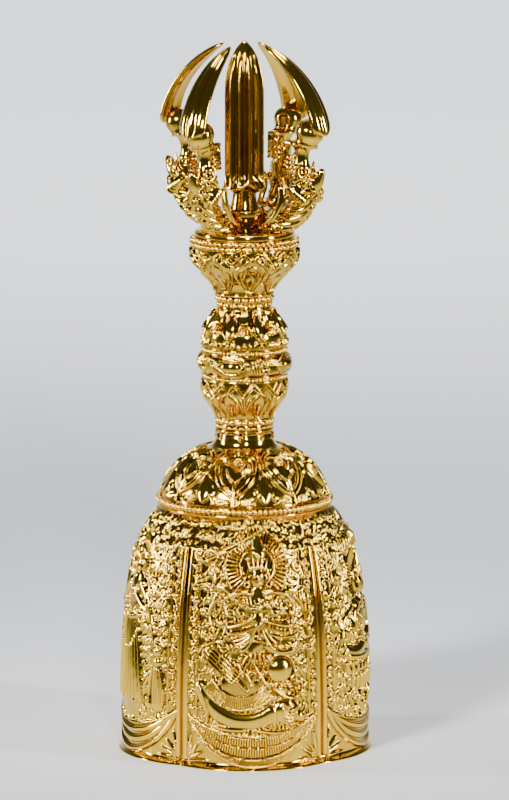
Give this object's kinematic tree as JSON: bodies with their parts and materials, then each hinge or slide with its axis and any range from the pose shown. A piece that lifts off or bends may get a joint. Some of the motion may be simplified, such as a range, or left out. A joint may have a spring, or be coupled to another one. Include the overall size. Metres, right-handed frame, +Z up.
{
  "type": "ritual hand bell",
  "caption": "Lobed gilt brass hand bell with relief panels, a lotus dome, a stacked bead-and-lotus handle, a clawed prong finial with dragon heads, and a hanging clapper.",
  "frame": {"origin": "centre of the mouth, on the flat rim that the bell stands on", "axes": "+Z up the bell's and the handle's axis to the finial's tip; -Y towards the front panel; +X to the viewer's right"},
  "size_m": [0.08, 0.0795, 0.22],
  "materials": {
    "gilt_brass": "polished gold plating over cast brass",
    "rod_steel": "plain turned steel",
    "clapper_brass": "turned brass, lightly worn where it strikes"
  },
  "bodies": {
    "bell": {"bell_shell": "gilt_brass", "shoulder_bead_ring": "gilt_brass", "lotus_dome": "gilt_brass", "neck_collar": "gilt_brass", "neck_bead_ring": "gilt_brass", "lower_lotus_cup": "gilt_brass", "lower_bead_band": "gilt_brass", "centre_knop": "gilt_brass", "upper_bead_band": "gilt_brass", "upper_lotus_cup": "gilt_brass", "waist_bead_ring": "gilt_brass", "top_lotus_bowl": "gilt_brass", "bowl_bead_rim": "gilt_brass", "prong_hub": "gilt_brass", "centre_prong": "gilt_brass", "dragon_head_1": "gilt_brass", "dragon_head_2": "gilt_brass", "dragon_head_3": "gilt_brass", "dragon_head_4": "gilt_brass", "outer_prong_1": "gilt_brass", "outer_prong_2": "gilt_brass", "outer_prong_3": "gilt_brass", "outer_prong_4": "gilt_brass", "tie_rod": "rod_steel", "clamp_washer": "rod_steel", "eye_nut": "rod_steel"},
    "link": {"clapper_link": "rod_steel"},
    "clapper": {"clapper_shank": "rod_steel", "clapper_ball": "clapper_brass"}
  },
  "joints": [
    {"name": "link_swing", "type": "hinge", "parent": "bell", "child": "link", "pos_m": [0, 0, 0.0801], "axis": [1, 0, 0], "range_deg": [-23, 23]},
    {"name": "clapper_swing", "type": "hinge", "parent": "link", "child": "clapper", "pos_m": [0, 0, 0.07585], "axis": [0, 1, 0], "range_deg": [-7, 7]}
  ]
}
